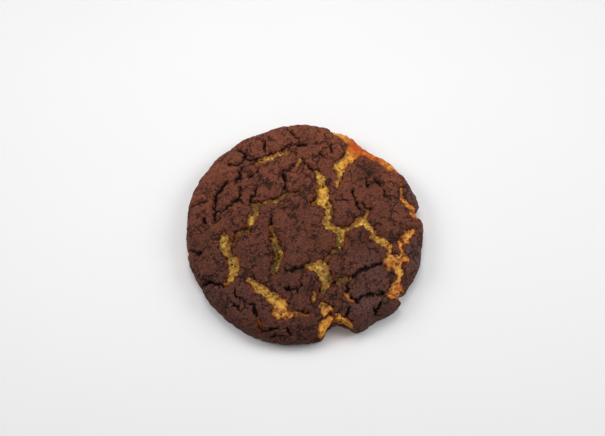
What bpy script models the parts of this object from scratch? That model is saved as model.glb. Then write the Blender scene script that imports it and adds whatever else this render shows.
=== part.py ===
"""A large chocolate cookie with a cracked top that shows a yellow filling, for Blender 4.5.

Units are metres, +Z up. The flat base lies on Z = 0 and the origin is at the middle of the base.
Two doughs make the cookie: a brown shell, which is base, side and cracked crust in one, and the
yellow filling that runs through it. Cracks, notches and the broken rim are set out on the plan.
"""

import math
import random

import bmesh
import bpy
from mathutils import Vector, noise

MM = 0.001

# Driving dimensions
RADIUS = 50 * MM
THICKNESS = 11.5 * MM
CROWN_SAG = 2.0 * MM
WIDEST_HEIGHT = 4.2 * MM
UPPER_ROUNDING = 0.13
LOWER_ROUNDING = 0.06
CRUST = 2.1 * MM
BASE = 2.3 * MM
CLEARANCE = 0.3 * MM

# Thickness of the shell's side, thick on the left and thin on the right
SIDE_MEAN = 3.0 * MM
SIDE_SWING = 1.6 * MM
SIDE_THIN_AT = math.radians(-5)
SIDE_LEAST = 0.9 * MM

# Slow dips and bulges of the outline: where, how deep, how wide to each side
DIPS = (
    (math.radians(54), 3.2 * MM, math.radians(17)),
    (math.radians(-22), -1.2 * MM, math.radians(16)),
    (math.radians(-43), -2.0 * MM, math.radians(14)),
    (math.radians(-111), -1.6 * MM, math.radians(27)),
)

# Places where the side is torn and the filling comes out to the edge: where, how wide to each side
BARE_SIDES = (
    (math.radians(55), math.radians(28)),
    (math.radians(7), math.radians(9)),
    (math.radians(-38), math.radians(8)),
    (math.radians(-75), math.radians(14)),
)
BARE_OVERSHOOT = 2.5 * MM
FILLING_SETBACK = 0.5 * MM

# Relief of the crust
LUMP_HEIGHT = 0.55 * MM
LUMP_SIZE = 11 * MM
EDGE_DROP = 0.5 * MM
EDGE_REACH = 2.2 * MM

# How a crack is cut
STATION_GAP = 2.9 * MM
JITTER = 0.38 * MM
EDGE_ROUND = 0.75 * MM
EDGE_DEPTH = 0.85 * MM
CLEAR_ABOVE = 4.0 * MM
OPEN_DEPTH = CRUST + 0.9 * MM
CLOSED_DEPTH = 1.35 * MM
FLOOR_SHARE = 0.8
END_SHARE = 0.35
SEED = 7

# Notches in plan, cut through both doughs, in millimetres
NOTCHES = {
    "right": ((54, 13.5), (49.3, 10.4), (47.0, 8.3), (46.6, 5.0), (48.4, 3.4), (50.2, 2.5), (54, 1)),
    "lower_right": (
        (46, -27), (42.4, -28.3), (40.6, -29.1), (39.2, -28.9), (37.8, -30.9), (38.3, -32.1), (39.9, -33.4),
        (44, -37),
    ),
    "bottom": (
        (4, -56), (7, -48.2), (9.4, -44.3), (12, -41.4), (15, -41.8), (18.2, -42.8), (21, -45), (24, -49),
        (24, -56),
    ),
}
# The back right, where the crust broke off along the rim: its plan and how high the filling stands
BROKEN_RIM = (
    (12.3, 44.6), (16.4, 41.6), (18.0, 37.6), (23.8, 34.8), (29, 32.6), (32.8, 29.8), (37, 27.6),
    (41, 26), (54, 33), (38, 52), (13, 56),
)
BROKEN_FLOOR = 5.6 * MM

# Cracks that open down to the filling: stations of (x, y, half width), in millimetres
OPEN_CRACKS = {
    "upper_window": (
        (21.5, 37.5, 3.2), (20, 33, 2.5), (17.5, 29, 2.8), (15.6, 25.5, 1.3),
        (15, 21, 0.8), (14.2, 17.3, 0.3),
    ),
    "upper_window_spur": ((17.5, 28.6, 1.6), (12.8, 27.2, 0.6)),
    "rim_spur": ((35.6, 30, 1.6), (36.2, 26, 1.0), (36, 22.5, 0.3)),
    "centre_window": (
        (5.2, 24.5, 0.5), (7.3, 21, 1.1), (8, 16, 2.0), (7.8, 11.5, 2.7), (9.7, 8, 1.6),
        (10.4, 5, 1.2), (9.8, 1, 1.3), (12.5, -1.8, 1.1), (16, -4.3, 2.1), (15.4, -8, 1.5),
        (14.6, -11.3, 0.6),
    ),
    "centre_spur": ((8.5, 10.4, 1.8), (6, 9.6, 1.4), (3, 8.7, 0.5)),
    "right_branch": (
        (14.8, -5, 1.2), (18, -2.6, 1.0), (21, -0.7, 0.9), (24.3, 0.4, 1.4), (27, -1.8, 1.0),
        (28.7, -5.5, 0.7), (31.5, -8.7, 1.1), (34, -10, 1.3), (35, -14.5, 0.9), (36.5, -17.5, 0.6),
    ),
    "right_window": (
        (31.4, -15.2, 0.6), (33.6, -15.6, 1.0), (37, -16.5, 2.3), (39, -19.5, 2.0), (38.7, -23.5, 1.2),
        (38.2, -27, 0.8), (37.6, -30, 2.4), (35.3, -32.2, 0.8),
    ),
    "right_window_spur": ((37, -17, 1.5), (40.4, -16.2, 1.5), (43, -15.8, 0.9)),
    "right_stem": ((39, -17.5, 1.0), (39.8, -13.5, 0.8), (39.7, -10, 0.6), (39, -7, 0.4)),
    "right_slit": ((45, -3.5, 0.6), (43, -5.2, 1.0), (41.3, -8.4, 0.5)),
    "right_tear": ((41, 13, 0.4), (43, 9.8, 1.2), (46, 7, 2.2), (48.6, 5.5, 2.4)),
    "lower_window": (
        (0.3, -19.4, 0.6), (4.5, -19.6, 2.2), (7.2, -21, 2.9), (9, -24.6, 1.6),
        (8.3, -28, 1.4), (7.2, -30, 0.5),
    ),
    "lower_slit": ((7.5, -23.5, 1.0), (11, -25.3, 1.0), (15, -24.8, 0.9), (20, -23, 0.4)),
    "small_patch": ((5.2, -30, 0.5), (4, -32.2, 1.2), (3.3, -34, 0.5)),
    "bottom_window": (
        (7.8, -35, 1.2), (9.5, -38, 2.0), (10.6, -41.2, 2.4), (8.2, -45, 2.2), (6, -50, 2.0),
    ),
    "bottom_spur": ((10.6, -41.2, 1.8), (14.8, -42.2, 1.6), (18.5, -46.5, 1.3)),
    "long_window": (
        (-22.8, -25.3, 0.5), (-19.5, -27.2, 1.4), (-16, -30, 2.0), (-12, -32.5, 2.5),
        (-9.8, -35.5, 2.4), (-9.2, -38, 2.2), (-9, -41, 1.2),
    ),
    "long_window_foot": ((-12.5, -40, 0.8), (-9.5, -38.5, 1.8), (-5, -39.2, 1.0), (1.5, -39.2, 0.4)),
    "left_window": (
        (-33, -5.5, 0.6), (-33.2, -8.5, 1.6), (-32.2, -12, 1.8), (-30, -15.2, 1.5),
        (-28.7, -18, 1.8), (-29, -21.5, 2.0), (-30.5, -25, 0.7), (-31.6, -27.8, 0.4),
    ),
    "centre_slit": (
        (-13, -2.5, 0.5), (-12.6, -7, 1.2), (-11, -12, 1.9), (-10.9, -17, 1.5),
        (-11.8, -20.8, 1.3), (-12, -22.8, 0.4),
    ),
    "upper_arc": ((-21, 26.3, 0.4), (-17.5, 29.3, 0.9), (-13.5, 31.4, 1.0), (-9, 33, 0.6), (-6.3, 33.6, 0.4)),
    "mid_left": (
        (-12.3, 10.6, 0.6), (-17, 9.2, 0.9), (-20.3, 7.2, 0.8), (-21.6, 2.3, 1.3),
        (-22.6, -1.5, 0.9), (-27, -4.2, 0.7), (-30.5, -7.8, 0.5), (-33, -10, 0.5),
    ),
    "top_dot": ((-1.3, 31.5, 0.5), (-2.6, 28, 0.6)),
    "bottom_dot": ((-18.8, -41, 0.5), (-17.4, -45.3, 1.1)),
}

# Cracks that stay brown, because they end inside the crust
CLOSED_CRACKS = {
    "crown": (
        (-29, 35.6, 0.5), (-24.6, 34, 0.9), (-25, 31, 0.7), (-20, 30.6, 0.5), (-15.5, 32.8, 0.5),
        (-8.5, 35, 0.45), (-5.5, 37.2, 0.5), (0.5, 37.7, 0.5), (5, 38.3, 0.3),
    ),
    "mid_arc": ((-2, 15.2, 0.3), (-8, 14.2, 0.5), (-12.3, 10.6, 0.6)),
    "mid_post": ((-9, 27, 0.3), (-8.4, 23.5, 0.4), (-8, 14.3, 0.5)),
    "post_arm": ((-8.4, 24, 0.3), (-5.5, 26, 0.3), (-2.6, 28, 0.4)),
    "left_loop": (
        (-32.6, 20.5, 0.4), (-35, 17, 0.6), (-37.2, 12, 0.5), (-37.3, 6.5, 0.5), (-34.5, 6.2, 0.5),
        (-29.3, 10.3, 0.5), (-27.3, 13.5, 0.7), (-27, 17.5, 0.4),
    ),
    "left_post": ((-27, 26, 0.3), (-26.5, 22.5, 0.6), (-29.6, 18.2, 0.4)),
    "left_arm": ((-32, 28, 0.35), (-28, 27.6, 0.35), (-25.2, 30.5, 0.5)),
    "left_rim_upper": ((-47.2, 7.4, 0.5), (-44, 10, 0.4), (-41, 10, 0.3)),
    "left_low": ((-42.2, 3.8, 0.45), (-41, 0.5, 0.6), (-37.5, 0.7, 0.35), (-34, 2, 0.3)),
    "left_rim_middle": ((-50, -8.5, 0.7), (-44.3, -12, 0.8), (-42.8, -13.8, 0.4)),
    "left_rim_lower": ((-44.5, -26, 0.8), (-40.5, -24.6, 0.6), (-36.5, -25.3, 0.7), (-31.6, -27.5, 0.5)),
    "lower_left": ((-28.6, -27.5, 0.3), (-27, -31.5, 0.5), (-22.5, -34.6, 0.4), (-18.8, -41, 0.5)),
    "bottom_left_rim": ((-17, -46, 0.4), (-11, -44.7, 0.5)),
    "slit_foot": ((-8.3, -20.4, 0.4), (-3, -20.4, 0.4), (0.3, -19.4, 0.5), (4, -19.6, 0.8)),
    "lower_mid": ((-6.4, -28.6, 0.3), (-3, -29, 0.4), (-1, -27.4, 0.4)),
    "window_link": ((15, -9, 0.5), (14, -11.8, 0.5), (10.5, -14.2, 0.5), (7.5, -18.5, 0.8)),
    "long_right": ((16.5, -24.3, 0.5), (20, -23, 0.5), (25, -21, 0.5), (29.5, -18.5, 0.5), (35.5, -16, 0.5)),
    "right_upper": ((20, 15, 0.35), (21, 10.5, 0.4), (23, 6.3, 0.35)),
    "right_arc": ((24.3, 8.8, 0.35), (27.5, 6.2, 0.4), (29.4, 7.4, 0.3)),
    "right_outer": ((31.2, 19.6, 0.3), (33.6, 13.9, 0.4), (37.5, 11, 0.4)),
    "right_inner": ((22.8, 25.4, 0.3), (27.3, 21.3, 0.4)),
    "lower_right_post": ((17.4, -25.8, 0.6), (16.9, -30.3, 0.6), (18.6, -32.8, 0.5), (21.6, -33.3, 0.7)),
    "lower_right_arm": ((21.6, -33.3, 0.7), (26.4, -30.8, 0.6), (30.5, -30.8, 0.4), (35, -30.5, 0.5)),
    "lower_right_foot": ((19, -34, 0.4), (16.3, -39.4, 0.6), (16.8, -44.5, 0.6)),
    "right_rim_lower": ((30.7, -33.9, 0.4), (29, -38.2, 0.5), (29.6, -42, 0.5)),
}

SHELL_COLOUR = (0.105, 0.040, 0.022, 1.0)
FILLING_COLOUR = (0.48, 0.25, 0.055, 1.0)
DOUGH_ROUGHNESS = 0.85
SHARP_ANGLE = math.radians(40)


def clear_scene():
    for old in list(bpy.data.objects):
        bpy.data.objects.remove(old)


def new_collection(name):
    made = bpy.data.collections.new(name)
    bpy.context.scene.collection.children.link(made)
    return made


def dough_material(name, colour):
    material = bpy.data.materials.new(name)
    material.use_nodes = True
    shader = material.node_tree.nodes["Principled BSDF"]
    shader.inputs["Base Color"].default_value = colour
    shader.inputs["Roughness"].default_value = DOUGH_ROUGHNESS
    shader.inputs["Metallic"].default_value = 0.0
    return material


def turn_between(angle, middle):
    """The signed angle from middle to angle, within half a turn."""
    return (angle - middle + math.pi) % (2 * math.pi) - math.pi


def bell(share):
    """1 at 0, falling smoothly to 0 at 1 and beyond."""
    return 0.5 + 0.5 * math.cos(math.pi * min(1.0, abs(share)))


def outline(angle):
    """Radius of the cookie's outline at its widest, its dips and bulges in."""
    dips = sum(depth * bell(turn_between(angle, at) / reach) for at, depth, reach in DIPS)
    wave = 0.25 * MM * math.sin(5 * angle + 1.0) + 0.15 * MM * math.sin(11 * angle + 2.2)
    return RADIUS - dips + wave


def bareness(angle):
    """1 where the filling comes out to the edge, 0 where the shell's side covers it."""
    return max(bell(turn_between(angle, at) / reach) for at, reach in BARE_SIDES)


def filling_inset(angle):
    """How far the filling's side lies inside the outline."""
    covered = max(SIDE_LEAST, SIDE_MEAN - SIDE_SWING * math.cos(angle - SIDE_THIN_AT))
    return covered + (FILLING_SETBACK - covered) * bareness(angle)


def hollow_inset(angle):
    """How far the shell's hollow lies inside the outline, outside it where the side is torn."""
    torn = bell(1.6 * (1 - bareness(angle)))
    return filling_inset(angle) - CLEARANCE - BARE_OVERSHOOT * torn


def crown(share):
    """Height of the smooth crust at this share of the way out to the rim's rounding."""
    return THICKNESS - CROWN_SAG * share * share


def smooth_top(x, y):
    """Height of the smooth, uncracked cookie above this point of the plan."""
    share = math.hypot(x, y) / outline(math.atan2(y, x))
    start = 1 - UPPER_ROUNDING
    if share <= start:
        return crown(share)
    across = min(1.0, (share - start) / UPPER_ROUNDING)
    rise = crown(start) - WIDEST_HEIGHT
    return WIDEST_HEIGHT + rise * math.sqrt(1 - across * across)


def route(points):
    """A crack's stations as (position, half width), in metres."""
    return [(Vector((x, y)) * MM, half * MM) for x, y, half in points]


ROUTES = [route(points) for points in (*OPEN_CRACKS.values(), *CLOSED_CRACKS.values())]


def crack_distance(place):
    """Distance on the plan from this point to the nearest crack's edge, negative inside a crack."""
    nearest = RADIUS
    for stations in ROUTES:
        for (start, start_half), (end, end_half) in zip(stations, stations[1:]):
            along = end - start
            share = max(0.0, min(1.0, (place - start).dot(along) / along.length_squared))
            half = start_half + (end_half - start_half) * share
            nearest = min(nearest, (place - start - along * share).length - half)
    return nearest


def crust_relief(point):
    """How far the crust stands off its smooth form: slow lumps, and plates that round down at cracks."""
    lumps = LUMP_HEIGHT * noise.noise(point / LUMP_SIZE)
    beyond = max(0.0, crack_distance(Vector((point.x, point.y))))
    return lumps - EDGE_DROP * math.exp(-beyond / EDGE_REACH)


def round_map(u, v):
    """A point of the square from -1 to 1 as (share of the radius, angle) of a disc, evenly spread."""
    if abs(u) < 1e-9 and abs(v) < 1e-9:
        return 0.0, 0.0
    if abs(u) >= abs(v):
        return abs(u), math.pi / 4 * (v / u) + (math.pi if u < 0 else 0.0)
    return abs(v), math.pi / 2 - math.pi / 4 * (u / v) + (math.pi if v < 0 else 0.0)


def gridded_box(across, down):
    """A two metre cube primitive with across cells along each level edge and down rows up its sides."""
    bm = bmesh.new()
    bmesh.ops.create_cube(bm, size=2)
    upright = [e for e in bm.edges if abs(e.verts[0].co.z - e.verts[1].co.z) > 1]
    bmesh.ops.subdivide_edges(bm, edges=upright, cuts=down - 1, use_grid_fill=True)
    level = [e for e in bm.edges if abs(e.verts[0].co.z - e.verts[1].co.z) < 1e-6]
    bmesh.ops.subdivide_edges(bm, edges=level, cuts=across - 1, use_grid_fill=True)
    return bm


def dough_disc(name, across, down, inset, drop, floor, relief):
    """A closed disc of dough inside the cookie's smooth form, drawn in by inset(angle) at the side.

    Its top lies drop below the cookie's, its flat underside lies at floor, and relief(point) lifts
    its upper faces.
    """
    bm = gridded_box(across, down)
    top = crown(1 - UPPER_ROUNDING) - drop
    waist = floor + (top - floor) * WIDEST_HEIGHT / THICKNESS
    for vertex in bm.verts:
        u, v, level = vertex.co
        share, angle = round_map(u, v)
        outer = outline(angle) - inset(angle)
        if level > 1 - 1e-6:
            reach = share * (1 - UPPER_ROUNDING)
            height = crown(reach) - drop
            facing = Vector((0, 0, 1))
        elif level < -1 + 1e-6:
            reach, height, facing = share * (1 - LOWER_ROUNDING), floor, Vector()
        else:
            tilt = level * math.pi / 2
            rounding = UPPER_ROUNDING if level > 0 else LOWER_ROUNDING
            rise = top - waist if level > 0 else waist - floor
            reach = 1 - rounding * (1 - math.cos(tilt))
            height = waist + rise * math.sin(tilt)
            facing = Vector((math.cos(angle), math.sin(angle), 0)) * math.cos(tilt)
            facing.z = max(0.0, math.sin(tilt))
        place = Vector((math.cos(angle), math.sin(angle), 0)) * outer * reach
        place.z = height
        vertex.co = place + facing * relief(place)
    return mesh_object(name, bm)


def stations_along(stations, chance):
    """The crack's stations at an even, small spacing, their places shaken a little."""
    made = []
    for (start, start_half), (end, end_half) in zip(stations, stations[1:]):
        steps = max(1, round((end - start).length / STATION_GAP))
        for step in range(steps):
            share = step / steps
            made.append((start.lerp(end, share), start_half + (end_half - start_half) * share))
    made.append(stations[-1])
    shaken = [made[0]]
    for place, half in made[1:-1]:
        shake = Vector((chance.uniform(-JITTER, JITTER), chance.uniform(-JITTER, JITTER)))
        shaken.append((place + shake, half * chance.uniform(0.85, 1.15)))
    shaken.append(made[-1])
    return shaken


def mesh_object(name, bm):
    bmesh.ops.recalc_face_normals(bm, faces=bm.faces)
    mesh = bpy.data.meshes.new(name)
    bm.to_mesh(mesh)
    bm.free()
    return bpy.data.objects.new(name, mesh)


def crack_cutter(name, stations, depth, chance):
    """A closed wedge along a crack, which rounds off the plates' edges and ends depth below the crust."""
    places = stations_along(stations, chance)
    bm = bmesh.new()
    sections = []
    for i, (place, half) in enumerate(places):
        along = places[min(i + 1, len(places) - 1)][0] - places[max(i - 1, 0)][0]
        across = Vector((-along.y, along.x)).normalized()
        surface = smooth_top(place.x, place.y)
        fullness = END_SHARE if i in (0, len(places) - 1) else 1.0
        right = (
            (half + EDGE_ROUND * fullness, surface + CLEAR_ABOVE),
            (half + EDGE_ROUND * fullness, surface),
            (half, surface - EDGE_DEPTH * fullness),
            (half * FLOOR_SHARE, surface - depth * fullness),
        )
        left = [(-offset, height) for offset, height in reversed(right)]
        sections.append([
            bm.verts.new((*(place + across * offset), height)) for offset, height in (*right, *left)
        ])
    corners = len(sections[0])
    for near, far in zip(sections, sections[1:]):
        for k in range(corners):
            bm.faces.new((near[k], near[(k + 1) % corners], far[(k + 1) % corners], far[k]))
    bm.faces.new(sections[0][::-1])
    bm.faces.new(sections[-1])
    return mesh_object(name, bm)


def prism_cutter(name, plan, floor):
    """A closed prism over a plan in millimetres, from floor to above the crust."""
    bm = bmesh.new()
    face = bm.faces.new([bm.verts.new((x * MM, y * MM, floor)) for x, y in plan])
    raised = bmesh.ops.extrude_face_region(bm, geom=[face])["geom"]
    lifted = [v for v in raised if isinstance(v, bmesh.types.BMVert)]
    bmesh.ops.translate(bm, verts=lifted, vec=(0, 0, THICKNESS + CLEAR_ABOVE - floor))
    return mesh_object(name, bm)


def crack_cutters(collection):
    chance = random.Random(SEED)
    for cracks, depth in ((OPEN_CRACKS, OPEN_DEPTH), (CLOSED_CRACKS, CLOSED_DEPTH)):
        for name, points in cracks.items():
            collection.objects.link(crack_cutter("cut_" + name, route(points), depth, chance))


def finish(dough, material):
    dough.data.shade_smooth()
    dough.data.set_sharp_from_angle(angle=SHARP_ANGLE)
    dough.data.materials.append(material)


def subtract(obj, name, cutters):
    cut = obj.modifiers.new(name, "BOOLEAN")
    cut.operation = "DIFFERENCE"
    cut.operand_type = "COLLECTION"
    cut.collection = cutters
    cut.solver = "EXACT"


def build():
    clear_scene()
    cookie = new_collection("chocolate_cookie")
    shell_cutters = new_collection("shell_cutters")
    notch_cutters = new_collection("notch_cutters")

    shell = dough_disc("chocolate_shell", 30, 7, lambda a: 0.0, 0.0, 0.0, crust_relief)
    finish(shell, dough_material("chocolate_dough", SHELL_COLOUR))
    cookie.objects.link(shell)

    filling = dough_disc("yellow_filling", 24, 4, filling_inset, CRUST, BASE, lambda p: 0.0)
    finish(filling, dough_material("yellow_dough", FILLING_COLOUR))
    cookie.objects.link(filling)

    hollow = dough_disc(
        "filling_space", 24, 4, hollow_inset, CRUST - CLEARANCE, BASE - CLEARANCE, lambda p: 0.0
    )
    shell_cutters.objects.link(hollow)
    crack_cutters(shell_cutters)
    shell_cutters.objects.link(prism_cutter("cut_broken_rim", BROKEN_RIM, BROKEN_FLOOR))
    for name, plan in NOTCHES.items():
        notch_cutters.objects.link(prism_cutter("notch_" + name, plan, -CLEAR_ABOVE))
    for helper in (*shell_cutters.objects, *notch_cutters.objects):
        helper.hide_render = True
        helper.display_type = "WIRE"

    subtract(shell, "cracks and hollow", shell_cutters)
    subtract(shell, "notches", notch_cutters)
    subtract(filling, "notches", notch_cutters)


build()
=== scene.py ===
"""Looks of a large chocolate cookie whose cracked crust shows a yellow dough filling.

The solids come packed as a frame, in metres, +Z up. Two meshes replace them, made by the same rules:
a grid is bent over the cookie's smooth form and each point is then moved by cracks, lumps and pits.
Plan coordinates and the sizes of cracks are in millimetres, and so is everything until the mesh is made.
The last number of a noise is its seed: any value does, and each noise has its own.
"""

import math

import bpy
import numpy as np
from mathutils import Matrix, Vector


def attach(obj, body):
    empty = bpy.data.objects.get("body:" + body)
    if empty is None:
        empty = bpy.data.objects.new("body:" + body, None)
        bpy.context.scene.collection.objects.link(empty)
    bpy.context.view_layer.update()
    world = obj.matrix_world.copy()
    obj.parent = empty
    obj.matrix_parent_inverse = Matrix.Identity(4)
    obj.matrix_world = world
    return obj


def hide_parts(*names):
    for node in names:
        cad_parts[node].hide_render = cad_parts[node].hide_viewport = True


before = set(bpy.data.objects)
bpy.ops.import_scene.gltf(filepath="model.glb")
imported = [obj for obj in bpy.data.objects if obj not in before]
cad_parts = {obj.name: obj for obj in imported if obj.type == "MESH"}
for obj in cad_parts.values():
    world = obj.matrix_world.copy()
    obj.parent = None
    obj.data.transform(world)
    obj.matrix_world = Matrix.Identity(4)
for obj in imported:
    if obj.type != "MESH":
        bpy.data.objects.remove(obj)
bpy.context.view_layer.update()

MM = 0.001

# The cookie's smooth form
RADIUS = 50.0
THICKNESS = 11.5
CROWN_SAG = 2.0
WIDEST_HEIGHT = 4.2
UPPER_ROUNDING = 0.13
LOWER_ROUNDING = 0.06
BASE_LIP = 2.3
DIPS = (
    (math.radians(54), 3.2, math.radians(17)),
    (math.radians(-22), -1.2, math.radians(16)),
    (math.radians(-43), -2.0, math.radians(14)),
    (math.radians(-111), -1.6, math.radians(27)),
)

# Cracks that open down to the filling: stations of (x, y, half width)
OPEN_CRACKS = (
    (
        (-20.3, 28, 0.4), (-17.2, 29.8, 0.9), (-14.4, 31, 0.9), (-12, 32.3, 0.8), (-9.5, 33, 0.5),
        (-6.7, 34.3, 0.3),
    ),
    ((-20.4, 6.3, 0.8), (-20, 4.4, 1.0), (-21.5, 2.5, 1.5), (-22.2, 1, 1.1), (-22.4, -1, 0.7)),
    ((-10.6, -12.4, 1.4), (-9.8, -14.2, 1.2)),
    (
        (-33.5, -4.2, 0.7), (-32.3, -6.5, 1.8), (-32.9, -9.3, 2.0), (-32, -12.5, 1.3), (-30.4, -14.4, 1.2),
        (-28.7, -16.6, 2.1), (-28.7, -19.2, 1.9), (-29, -21.7, 1.6), (-30, -24.2, 0.9), (-31.3, -27.3, 0.4),
    ),
    (
        (-22.7, -25.3, 0.8), (-20, -26.7, 1.4), (-17.7, -28.7, 1.7), (-15, -30.7, 1.8), (-12, -32.8, 2.3),
        (-9.5, -34.5, 2.6), (-9.2, -37.3, 2.4), (-8, -39.2, 1.3), (-5, -39, 0.8), (-2.3, -38.8, 0.6),
        (1.5, -39.2, 0.4),
    ),
    ((-9.5, -38, 1.8), (-11, -39.4, 1.6)),
    (
        (5.1, 24.7, 0.3), (6, 23.4, 0.9), (7.6, 21.3, 1.7), (7.5, 18.5, 1.6), (7.1, 16, 2.2),
        (7.8, 13.3, 2.4), (7.7, 10.1, 2.6), (9.8, 8.3, 1.6), (10.4, 6, 1.3), (10.1, 3.3, 1.6), (9, 1, 1.6),
        (10, -1, 1.2), (12.2, -1.8, 1.0), (14.3, -2.9, 1.3), (15.6, -4.8, 2.0), (15.2, -6.5, 1.7),
        (14.8, -9, 1.4), (14.7, -10.8, 0.6),
    ),
    ((4.4, 9.2, 1.0), (8, 8.8, 1.6)),
    (
        (15.7, -3.2, 1.5), (18.5, -2.8, 0.8), (20.6, -1.3, 1.0), (22.7, 0.6, 1.8), (24.8, 1, 1.9),
        (26.2, -0.9, 1.0), (27.5, -2.3, 0.8), (28.4, -4.6, 0.8), (29.4, -6.3, 1.4), (31, -7.6, 1.6),
        (33.2, -9, 1.5), (34.7, -9.3, 1.0), (34.9, -11.2, 0.7), (35.3, -13, 0.7), (36.5, -15.5, 1.8),
    ),
    ((24.9, 1.3, 1.0), (26, 3.7, 0.5), (26.6, 5.6, 0.3)),
    (
        (21.3, 37, 2.7), (21, 34.5, 2.7), (19.5, 31.8, 2.2), (17.5, 29, 2.0), (15, 27, 2.8),
        (15, 24.7, 1.7), (15.2, 22.5, 1.0), (14.6, 20, 0.8), (14, 17.3, 0.4),
    ),
    ((35.7, 29.5, 1.2), (36.2, 26, 0.8), (35.5, 24.3, 0.3)),
    (
        (41.3, 21.5, 0.3), (40.6, 14.6, 0.4), (41, 12, 0.7), (42.8, 9.8, 1.1), (45, 8.3, 1.4),
        (45.6, 5.5, 1.8), (47, 4.5, 1.6),
    ),
    ((45.3, -2.6, 0.6), (43.6, -3.7, 1.2), (42.6, -5.5, 1.4), (42.3, -7.8, 1.1)),
    ((39.2, -7, 0.3), (39.5, -8, 0.9), (40.1, -11, 0.5), (40.5, -13.4, 0.8), (41.5, -15.2, 1.5)),
    ((34, -16, 1.5), (36, -15.7, 2.5), (38.5, -15.7, 2.1), (41.3, -15.2, 1.6)),
    (
        (37, -17.5, 2.6), (38.2, -19.6, 2.1), (38.8, -22, 1.4), (38.7, -24, 0.9), (38.1, -26, 0.7),
        (37.2, -28.2, 2.3), (36.0, -30.2, 2.2), (35.0, -31.8, 0.7),
    ),
    ((35, -18, 1.2), (34.2, -20.7, 0.6)),
    (
        (1, -19.3, 0.6), (3.6, -18.9, 1.5), (6.5, -19.4, 2.5), (7.4, -21.4, 2.6), (7.9, -23.4, 2.3),
        (9.3, -25, 2.1), (8.5, -27.3, 1.6), (7.3, -29.3, 1.0),
    ),
    (
        (7.4, -35.2, 1.2), (8.7, -37, 2.1), (10, -39.4, 2.4), (9.8, -41.7, 2.3), (8.9, -43.7, 2.9),
        (7.9, -46.1, 2.4), (7.4, -50, 2.0),
    ),
    ((12.7, -39.9, 0.7), (14.5, -40.8, 1.4), (16.2, -42, 1.6), (17.9, -43.3, 1.0)),
    ((3.9, -31.2, 0.4), (4.0, -32.7, 0.7), (3.4, -34, 0.4)),
    ((16.7, -30.3, 0.5), (17, -31.8, 0.55), (18.8, -33.4, 0.3)),
    ((-18.3, -41.5, 0.5), (-17.6, -44.3, 0.9), (-17.3, -45.8, 0.3)),
    ((-3, 27.7, 0.5), (-1.5, 30.5, 0.5)),
)

# Open cracks too deep and narrow for much light, where the filling is drawn olive as painted shade
DEEP_CRACKS = (
    (
        (-5.4, 14.6, 0.4), (-7.5, 14.2, 0.6), (-9.3, 12.1, 0.8), (-11.5, 10.5, 0.9), (-14.2, 10.5, 0.9),
        (-17, 9.5, 0.9), (-19.8, 9, 1.0), (-20.4, 6.3, 0.9),
    ),
    (
        (-22.4, -1, 0.8), (-22.7, -3, 0.8), (-25.2, -2.3, 0.7), (-27, -4.5, 1.0), (-28.5, -7, 0.8),
        (-30.5, -7.7, 0.5),
    ),
    (
        (-13.8, -1, 0.6), (-12.8, -3.5, 1.0), (-12.5, -7, 1.2), (-11.6, -10.8, 1.6), (-10.8, -13.2, 1.9),
        (-10.8, -16.9, 1.7), (-11.7, -20.6, 1.4), (-12, -22.2, 0.4),
    ),
    ((8.3, -16, 0.5), (10, -14.5, 0.6), (11.3, -12.9, 0.7), (13, -11.5, 0.7), (14.7, -10.8, 0.8)),
    ((14.3, -25.5, 1.0), (17.3, -24, 1.1), (19, -23.3, 0.6)),
    ((3.2, 9.2, 0.7), (5.2, 8.9, 1.1)),
    ((7.9, -28.5, 1.2), (7, -29.8, 0.9)),
    ((-2.3, -38.8, 0.7), (1.5, -39.2, 0.5)),
    ((9.6, -22.5, 0.9), (10.3, -25.2, 1.2), (8.8, -27.2, 0.8)),
    ((15.4, -4.4, 1.3), (15.2, -6.5, 1.8), (14.8, -9, 1.5)),
    ((10.9, 7.5, 0.7), (11.3, 4.5, 0.8)),
    ((5.1, 24.7, 0.4), (5.8, 23.2, 1.0)),
)

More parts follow.
